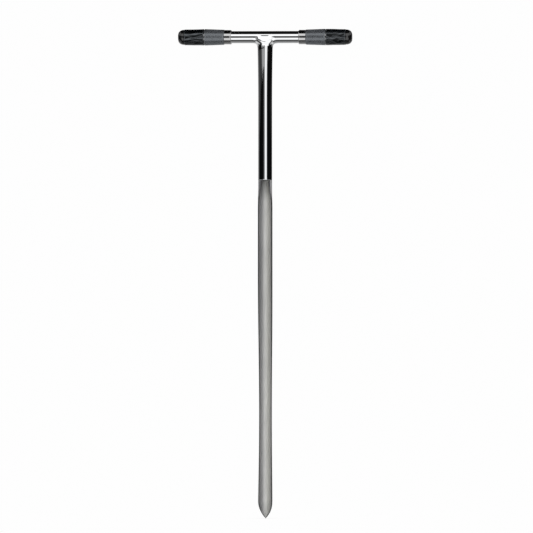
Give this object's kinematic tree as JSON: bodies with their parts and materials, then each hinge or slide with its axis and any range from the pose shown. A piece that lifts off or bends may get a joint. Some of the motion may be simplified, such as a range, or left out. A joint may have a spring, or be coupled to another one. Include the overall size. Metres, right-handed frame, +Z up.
{
  "type": "soil sampling probe",
  "caption": "Chromed T-handled hand probe with an open pointed steel gouge, pushed into lawn or bed to take out a core of soil or open a planting hole.",
  "frame": {"origin": "on the stem's axis, level with the lowest point of the gouge's tip", "axes": "+Z up the stem to the handle, X along the cross bar, the gouge opens towards -Y"},
  "size_m": [0.319, 0.0298, 0.8939],
  "materials": {
    "chrome": "polished",
    "satin_steel": "satin",
    "gloss_black": "gloss",
    "grey_rubber": "matt",
    "black_rubber": "matt"
  },
  "bodies": {
    "root": {"cross_bar": "chrome", "stem_tube": "chrome", "handle_weld": "chrome", "gouge": "satin_steel", "grip_core_left": "gloss_black", "ribbed_sleeve_left": "grey_rubber", "grained_sleeve_left": "black_rubber", "end_cap_left": "gloss_black", "grip_core_right": "gloss_black", "ribbed_sleeve_right": "grey_rubber", "grained_sleeve_right": "black_rubber", "end_cap_right": "gloss_black"}
  },
  "joints": []
}
